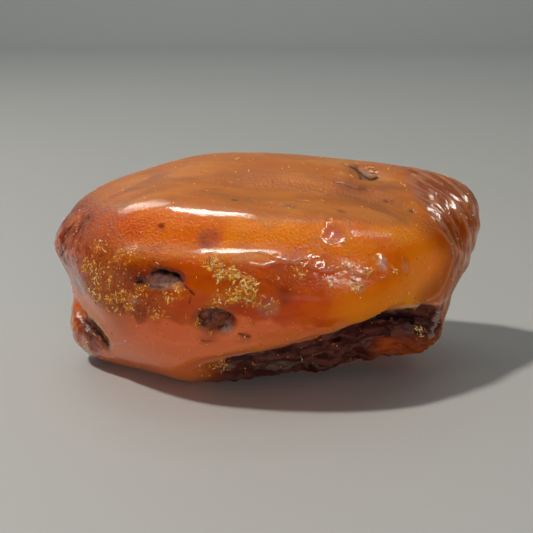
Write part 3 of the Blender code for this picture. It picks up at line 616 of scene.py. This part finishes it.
def relief(p, share, lip, lip_edge, inner, lines):
    """How far each point rises from the smooth skin, in mm."""
    x, y, z = p.T
    torn, crust = share["torn"], share["crust"]
    rise = 0.020 * roll(p, 1.7) + 0.010 * roll(p, 0.8)
    rise += (
        CREST_HEIGHT * share["crest"] - WRINKLE_SINK * share["wrinkled"] + INNER_CREST_HEIGHT * inner * (1.0 - torn)
        + LIP_EDGE_HEIGHT * lip_edge
    )
    layer = np.column_stack([x, y, lip - z])
    cells = np.abs(roll(layer, (4.5, 2.0, 1.0), 2.0, torn)) + 0.5 * np.abs(roll(layer, (1.8, 0.9, 0.5), 0.0, torn))
    rise += torn * (FACET_HEIGHT * (0.4 - cells) + FACET_GRAIN * roll(p, (0.9, 0.45, 0.4), 0.0, torn))
    for dent in dents(p):
        rise += dent
    rise += lumps(p, "pit", share["pit"])
    rise += lumps(p, "nose", share["nose"] ** 2)
    rise += lumps(p, "lobe", share["lobe"])
    rise += crust * (0.09 * threads(p, 0.9, 0.22, 0.0, crust) + 0.06 * threads(p, 0.6, 0.25, 4.0, crust) - 0.05)
    rise += lines
    rise += lumps(p, "wet", share["wet"])
    rise += lumps(p, "bark", share["bark"])
    for step in cracks(p):
        rise += step
    ring = np.linalg.norm(p - BUBBLE, axis=1) * (1.0 + 0.2 * roll(p, 0.8, 41.0))
    rim, dip = np.exp(-(((ring - BUBBLE_RADIUS) / 0.22) ** 2)), np.exp(-((ring / 0.5) ** 2))
    return rise + (BUBBLE_RIM * rim - BUBBLE_DIP * dip)


def dress(skin):
    """Works the small relief into the skin, and gives each finish its share of every point."""
    p, facing = skin.points, skin.normals()
    x, y, z = p.T
    broad = facing
    for _ in range(BROAD_ROUNDS):
        broad = skin.spread(broad)

    lip, torn = broken_face(p)
    share = {"torn": torn, **blemishes(p, torn), **wrinkles(p, torn)}
    share |= broad_zones(p, broad[:, 2], share)
    lip_edge = np.exp(-(((z - lip - 0.1) / 0.2) ** 2)) * smooth_step(x, -11.0, -8.0) * smooth_step(-y, 0.0, 2.0)
    lip_edge *= 1.0 - torn
    to_inner = from_line(p, INNER_CREST)[0]
    inner = np.exp(-((to_inner / 0.3) ** 2))
    share["bowl"] = np.maximum(share["bowl"], 0.85 * (1.0 - smooth_step(to_inner + 0.6 * roll(p, 3.0), 0.5, 5.0)))
    # The slits are cut in, and painted near-black as painted shade.
    share["dark"], depth = drawn(p, SLITS)
    folded, height = drawn(p, FOLDS)

    rise = relief(p, share, lip, lip_edge, inner, height - depth)
    skin.points = p + facing * (rise * smooth_step(z, 0.0, RESTING_BAND))[:, None]
    skin.points[:, 2] = np.maximum(skin.points[:, 2], 0.0)

    share["gleam"] = gleaming(p, share)
    share["bark"] = share["bark"] * (1.0 - share["belly"])
    # Painted highlight: the inner crest line is painted pale like the fold crests.
    share["crest"] = np.maximum(share["crest"], inner * 0.8)
    # Painted highlight: the lip over the break and the raised folds are painted pale as glints.
    share["pale"] = np.maximum(share["pale"], np.maximum(0.6 * lip_edge, folded))
    return {name: np.clip(share[name], 0.0, 1.0) for name in FINISHES}


def mesh_of(name, points, faces, attributes=()):
    mesh = bpy.data.meshes.new(name)
    mesh.from_pydata((points * MM).tolist(), [], faces)
    for title, values in dict(attributes).items():
        mesh.attributes.new(title, "FLOAT", "POINT").data.foreach_set("value", values.astype(np.float32))
    mesh.shade_smooth()
    thing = bpy.data.objects.new(name, mesh)
    bpy.context.scene.collection.objects.link(thing)
    return thing


def feed(tree, node, links):
    """Gives the node's inputs, by name or number, these values or other nodes' outputs."""
    for key, value in dict(links).items():
        if isinstance(value, bpy.types.NodeSocket):
            tree.links.new(value, node.inputs[key])
        else:
            node.inputs[key].default_value = value


def add_node(tree, kind, links=(), **settings):
    """Adds a node to the tree, with its settings, and feeds its inputs."""
    node = tree.nodes.new(kind)
    for key, value in settings.items():
        setattr(node, key, value)
    feed(tree, node, links)
    return node


def plain_material(name):
    """A new material, with its node tree and its shader."""
    material = bpy.data.materials.new(name)
    material.use_nodes = True
    return material, material.node_tree, material.node_tree.nodes["Principled BSDF"]


def raw_amber():
    """Baltic amber, rolled smooth by the sea: cloudy orange resin that light soaks into, under a natural gloss.

    The eye gets a warm glow from inside, smoke clouds on top with painted shade darkening the whole top, a golden crust
    where the old bark side is left, wine-dark bruises round the pits, and a dull brown break.
    """
    material, tree, shader = plain_material("sea_worn_raw_amber")
    place = add_node(tree, "ShaderNodeTexCoord").outputs["Object"]
    drawn_out = add_node(tree, "ShaderNodeMapping", {"Vector": place, "Scale": (0.35, 1.0, 1.0)}).outputs[0]
    value = {
        name: add_node(tree, "ShaderNodeAttribute", attribute_name=name).outputs["Fac"] for name in FINISHES
    }
    for name, (spacing, detail, distortion, is_long) in AMBER_NOISES.items():
        links = {"Vector": drawn_out if is_long else place, "Scale": 1 / (spacing * MM), "Detail": detail,
                 "Distortion": distortion}
        value[name] = add_node(tree, "ShaderNodeTexNoise", links).outputs["Fac"]
    for name, spacing in AMBER_GRAINS.items():
        grains = add_node(tree, "ShaderNodeTexVoronoi", {"Vector": place, "Scale": 1 / (spacing * MM)})
        value[name] = grains.outputs["Distance"]
    for name, (of, low, high, to_low, to_high) in AMBER_STEPS.items():
        links = {"Value": value[of], "From Min": low, "From Max": high, "To Min": to_low, "To Max": to_high}
        step = add_node(tree, "ShaderNodeMapRange", links, interpolation_type="SMOOTHSTEP")
        value[name] = step.outputs["Result"]
    for name, (kind, *terms) in AMBER_SUMS.items():
        links = {place_in_sum: value.get(term, term) for place_in_sum, term in enumerate(terms)}
        value[name] = add_node(tree, "ShaderNodeMath", links, operation=kind).outputs[0]

    colour = linear(AMBER_BASE)
    for code, where, strength in AMBER_LAYERS:
        links = {0: value[where], 1: value.get(strength, strength)}
        amount = add_node(tree, "ShaderNodeMath", links, operation="MULTIPLY", use_clamp=True).outputs[0]
        links = {0: amount, 6: colour, 7: linear(code)}
        colour = add_node(tree, "ShaderNodeMix", links, data_type="RGBA").outputs[2]
    relief = {}
    for of, where, low, high, height in AMBER_RELIEF:
        strength = add_node(tree, "ShaderNodeMapRange", {"Value": value[where], "To Min": low, "To Max": high})
        links = {"Height": value[of], "Strength": strength.outputs["Result"], "Distance": height * MM, **relief}
        relief = {"Normal": add_node(tree, "ShaderNodeBump", links).outputs["Normal"]}

    feed(tree, shader, {
        "Base Color": colour, "Roughness": value["rough"], "IOR": 1.54, "Specular IOR Level": 0.05,
        "Subsurface Weight": value["soaking"], "Subsurface Radius": (1.0, 0.35, 0.06), "Subsurface Scale": 0.020,
        "Transmission Weight": 0.12, "Coat Weight": value["polish"], "Coat Roughness": 0.14, **relief,
    })
    soaked = add_node(tree, "ShaderNodeVolumeAbsorption", {"Color": linear("#ff9a2a"), "Density": 100.0})
    feed(tree, tree.nodes["Material Output"], {"Volume": soaked.outputs[0]})
    return material


def crust_crumb():
    """Old amber crust, weathered to opaque golden grains that catch the light against the clear skin."""
    material, tree, shader = plain_material("weathered_amber_crust")
    shade = add_node(tree, "ShaderNodeAttribute", attribute_name="shade").outputs["Fac"]
    colour = add_node(tree, "ShaderNodeValToRGB", {"Fac": shade})
    stops = colour.color_ramp.elements
    stops[0].color, stops[1].color = linear("#a8480a"), linear("#fce4ac")
    for spot, code in ((0.3, "#d8700e"), (0.6, "#f8a018"), (0.82, "#f8bc50")):
        stops.new(spot).color = linear(code)
    feed(tree, shader, {
        "Base Color": colour.outputs["Color"], "Roughness": 0.42, "IOR": 1.54, "Subsurface Weight": 0.35,
        "Subsurface Radius": (1.0, 0.5, 0.15), "Subsurface Scale": 0.0006, "Coat Weight": 0.3,
    })
    return material


def curl(seed):
    """A worm-like crumb, bent at random and tapered at both ends, in mm."""
    dice = np.random.default_rng(seed)
    heading, spine = 0.0, [np.zeros(3)]
    for _ in range(CURL_BENDS):
        heading += dice.normal(0.0, 0.75)
        spine.append(spine[-1] + CURL_STEP * np.array([math.cos(heading), math.sin(heading), 0.0]))
    spine = np.array(spine) - np.mean(spine, axis=0)
    along = np.gradient(spine, axis=0)
    side = np.column_stack([-along[:, 1], along[:, 0], 0 * along[:, 0]])
    side /= np.linalg.norm(side, axis=1)[:, None]
    girth = CURL_GIRTH * np.sin(np.linspace(0.12, math.pi - 0.12, len(spine))) * dice.uniform(0.7, 1.2, len(spine))
    points = [
        middle + g * (math.cos(turn) * across + 0.8 * math.sin(turn) * np.array([0.0, 0.0, 1.0]))
        for middle, across, g in zip(spine, side, girth)
        for turn in np.arange(CURL_SIDES) * 2 * math.pi / CURL_SIDES
    ]
    rings = np.arange(len(points)).reshape(-1, CURL_SIDES)
    faces = [
        (low[i - 1], low[i], high[i], high[i - 1]) for low, high in zip(rings, rings[1:]) for i in range(CURL_SIDES)
    ]
    faces += [tuple(rings[0][::-1]), tuple(rings[-1])]
    return np.array(points), [tuple(int(i) for i in face) for face in faces]


def grain(seed):
    """A lumpy, slightly flattened grain, in mm."""
    dice = np.random.default_rng(seed)
    form = bmesh.new()
    bmesh.ops.create_icosphere(form, subdivisions=1, radius=GRAIN_RADIUS)
    points = np.array([v.co * dice.uniform(0.7, 1.25) for v in form.verts]) * (1.0, 0.8, 0.65)
    faces = [tuple(v.index for v in face.verts) for face in form.faces]
    form.free()
    return points, faces


def crumb_scatter(kinds, finish):
    """A Geometry Nodes tree that strews crumbs over a skin, where its crust attribute asks for them."""
    tree = bpy.data.node_groups.new("crumb_scatter", "GeometryNodeTree")
    ports = {}
    for name, kind in (("Skin", "Geometry"), ("Crumbs per square metre", "Float"), ("Strays", "Float"),
                       ("Bare foot", "Float"), ("Crumb size", "Float"), ("Seed", "Int")):
        ports[name] = tree.interface.new_socket(name, in_out="INPUT", socket_type=f"NodeSocket{kind}").identifier
    tree.interface.new_socket("Crumbs", in_out="OUTPUT", socket_type="NodeSocketGeometry")
    given = add_node(tree, "NodeGroupInput").outputs
    crust = add_node(tree, "GeometryNodeInputNamedAttribute", {"Name": "crust"}, data_type="FLOAT").outputs[0]
    wanted = add_node(tree, "ShaderNodeMapRange", {"Value": crust, "From Min": 0.1, "From Max": 1.0}).outputs[0]
    wanted = add_node(tree, "ShaderNodeMath", {0: wanted, 1: given["Strays"]}, operation="ADD").outputs[0]
    place = add_node(tree, "GeometryNodeInputPosition").outputs[0]
    height = add_node(tree, "ShaderNodeSeparateXYZ", {0: place}).outputs["Z"]
    off_floor = add_node(tree, "ShaderNodeMath", {0: height, 1: given["Bare foot"]}, operation="GREATER_THAN")
    wanted = add_node(tree, "ShaderNodeMath", {0: wanted, 1: off_floor.outputs[0]}, operation="MULTIPLY").outputs[0]
    links = {0: wanted, 1: given["Crumbs per square metre"]}
    thick = add_node(tree, "ShaderNodeMath", links, operation="MULTIPLY").outputs[0]
    strewn = add_node(tree, "GeometryNodeDistributePointsOnFaces",
                      {"Mesh": given["Skin"], "Density": thick, "Seed": given["Seed"]})
    bag = add_node(tree, "GeometryNodeGeometryToInstance")
    for thing in kinds:
        shape = add_node(tree, "GeometryNodeObjectInfo", {"Object": thing}).outputs["Geometry"]
        tree.links.new(shape, bag.inputs[0])
    links = {"Max": (CRUMB_TILT, CRUMB_TILT, 2 * math.pi), "Min": (-CRUMB_TILT, -CRUMB_TILT, 0.0)}
    spin = add_node(tree, "FunctionNodeRandomValue", links, data_type="FLOAT_VECTOR").outputs[0]
    turned = add_node(tree, "FunctionNodeRotateRotation", {0: strewn.outputs["Rotation"], 1: spin},
                      rotation_space="LOCAL").outputs[0]
    off, on = LARGEST_CRUMBS
    links = {"Value": crust, "From Min": 0.2, "From Max": 0.8, "To Min": off, "To Max": on}
    largest = add_node(tree, "ShaderNodeMapRange", links).outputs[0]
    spread = add_node(tree, "FunctionNodeRandomValue", {2: SMALLEST_CRUMB, 3: largest, "Seed": 3}).outputs[1]
    size = add_node(tree, "ShaderNodeMath", {0: spread, 1: given["Crumb size"]}, operation="MULTIPLY").outputs[0]
    placed = add_node(
        tree, "GeometryNodeInstanceOnPoints",
        {"Points": strewn.outputs["Points"], "Instance": bag.outputs[0], "Pick Instance": True, "Rotation": turned,
         "Scale": size},
    ).outputs[0]
    luck = add_node(tree, "FunctionNodeRandomValue", {2: 0.0, 3: 1.0, "Seed": 5}).outputs[1]
    shaded = add_node(tree, "GeometryNodeStoreNamedAttribute", {"Geometry": placed, "Name": "shade", "Value": luck},
                      data_type="FLOAT", domain="INSTANCE").outputs[0]
    real = add_node(tree, "GeometryNodeRealizeInstances", {0: shaded}).outputs[0]
    dressed = add_node(tree, "GeometryNodeSetMaterial", {"Geometry": real, "Material": finish}).outputs[0]
    add_node(tree, "NodeGroupOutput", {0: dressed})
    return tree, ports


def crust_crumbs(stone):
    """The golden crumbs that stand on the skin, as one plain mesh."""
    makers = [(curl, 1), (curl, 2), (curl, 3), (grain, 4), (grain, 5), (grain, 6)]
    kinds = [mesh_of(f"{make.__name__}_{seed}", *make(seed)) for make, seed in makers]
    tree, ports = crumb_scatter(kinds, crust_crumb())
    bed = bpy.data.objects.new("crumb_bed", stone.data)
    bpy.context.scene.collection.objects.link(bed)
    strewn = bed.modifiers.new("strewn", "NODES")
    strewn.node_group = tree
    strewn[ports["Crumbs per square metre"]] = CRUMBS_PER_MM2 / MM**2
    strewn[ports["Strays"]] = STRAYS
    strewn[ports["Bare foot"]] = BARE_FOOT * MM
    strewn[ports["Crumb size"]] = CRUMB_SIZE
    strewn[ports["Seed"]] = CRUMB_SEED
    graph = bpy.context.evaluated_depsgraph_get()
    mesh = bpy.data.meshes.new_from_object(bed.evaluated_get(graph))
    for thing in [bed, *kinds]:
        bpy.data.objects.remove(thing)
    bpy.data.node_groups.remove(tree)
    crumbs = bpy.data.objects.new("crust_crumbs", mesh)
    bpy.context.scene.collection.objects.link(crumbs)
    return crumbs


def pale_board():
    """A painted board with a matt finish, which gives the eye an even, pale ground."""
    material, tree, shader = plain_material("matt_painted_board")
    feed(tree, shader, {"Base Color": linear("#b4b4b2"), "Roughness": 0.6})
    return material


def light_panel(name, place, width, height, watts, colour, target=(0.0, 0.0, 0.014), gloss=True, lit=True):
    """A soft oval panel that faces the target. Gloss is whether reflections show it, lit whether it lights the rest."""
    light = bpy.data.lights.new(name, "AREA")
    light.shape = "ELLIPSE"
    light.size, light.size_y = width, height
    light.energy = watts
    light.color = linear(colour)[:3]
    thing = bpy.data.objects.new(name, light)
    bpy.context.scene.collection.objects.link(thing)
    thing.location = place
    thing.rotation_euler = (Vector(target) - Vector(place)).to_track_quat("-Z", "Y").to_euler()
    thing.visible_glossy = gloss
    thing.visible_diffuse = thing.visible_transmission = thing.visible_volume_scatter = lit


def studio():
    """A pale floor that curves up into a backdrop, soft light, and the camera."""
    steps, radius, near, far, half, wall = 24, 0.3, -0.6, 0.8, 1.6, 1.6
    profile = [(near, 0.0), (far, 0.0)]
    profile += [
        (far + radius * math.sin(a), radius - radius * math.cos(a))
        for a in (math.pi / 2 * i / steps for i in range(1, steps + 1))
    ]
    profile.append((far + radius, wall))
    points = np.array([(x, y, z) for y, z in profile for x in (-half, half)])
    faces = [(2 * i, 2 * i + 1, 2 * i + 3, 2 * i + 2) for i in range(len(profile) - 1)]
    floor = mesh_of("studio_floor", points / MM, faces)
    floor.data.materials.append(pale_board())

    # The key and the fill light the body colour. The glints are seen only as highlights on the gloss.
    light_panel("key_light", (-0.41, -0.06, 0.69), 0.07, 0.07, 4.4, WARM_WHITE, gloss=False)
    light_panel("low_fill", (0.20, -0.60, 0.09), 0.40, 0.12, 1.4, WARM_WHITE, gloss=False)
    light_panel("ridge_glint", (0.0, 0.05, 0.42), 0.26, 0.11, 1.7, WARM_WHITE, lit=False)
    light_panel("ridge_halo", (-0.27, 0.24, 0.42), 0.42, 0.28, 1.7, WARM_WHITE, lit=False)
    light_panel("right_glint", (0.36, -0.08, 0.40), 0.30, 0.10, 1.8, WARM_WHITE, lit=False)
    light_panel("sky_glint", (0.0, 0.55, 0.50), 1.3, 0.7, 0.4, COOL_WHITE, lit=False)
    light_panel("backdrop_light", (0.0, 0.60, 0.90), 1.6, 0.4, 2.5, COOL_WHITE, (0.0, 1.1, 0.4))

    world = bpy.data.worlds.new("studio_air")
    bpy.context.scene.world = world
    world.use_nodes = True
    feed(world.node_tree, world.node_tree.nodes["Background"], {"Color": linear("#dfe6e8"), "Strength": 0.16})
    world.cycles_visibility.glossy = False

    camera = bpy.data.cameras.new("camera")
    camera.lens = CAMERA_LENS
    camera.sensor_width = 36.0
    camera.clip_start = 0.001
    thing = bpy.data.objects.new("camera", camera)
    bpy.context.scene.collection.objects.link(thing)
    away = Vector((0.0, -math.cos(CAMERA_RISE), math.sin(CAMERA_RISE)))
    thing.location = (Vector(CAMERA_TARGET) + away * CAMERA_DISTANCE) * MM
    thing.rotation_euler = (math.pi / 2 - CAMERA_RISE, 0.0, 0.0)
    bpy.context.scene.camera = thing
    bpy.context.scene.view_settings.view_transform = "Standard"


def main():
    studio()
    skin = fine_skin(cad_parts["amber_nugget"])
    masks = dress(skin)
    stone = mesh_of("amber_skin", skin.points, skin.faces, masks)
    stone.data.materials.append(raw_amber())
    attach(stone, "root")
    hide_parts("amber_nugget")
    crumbs = crust_crumbs(stone)
    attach(crumbs, "root")


main()
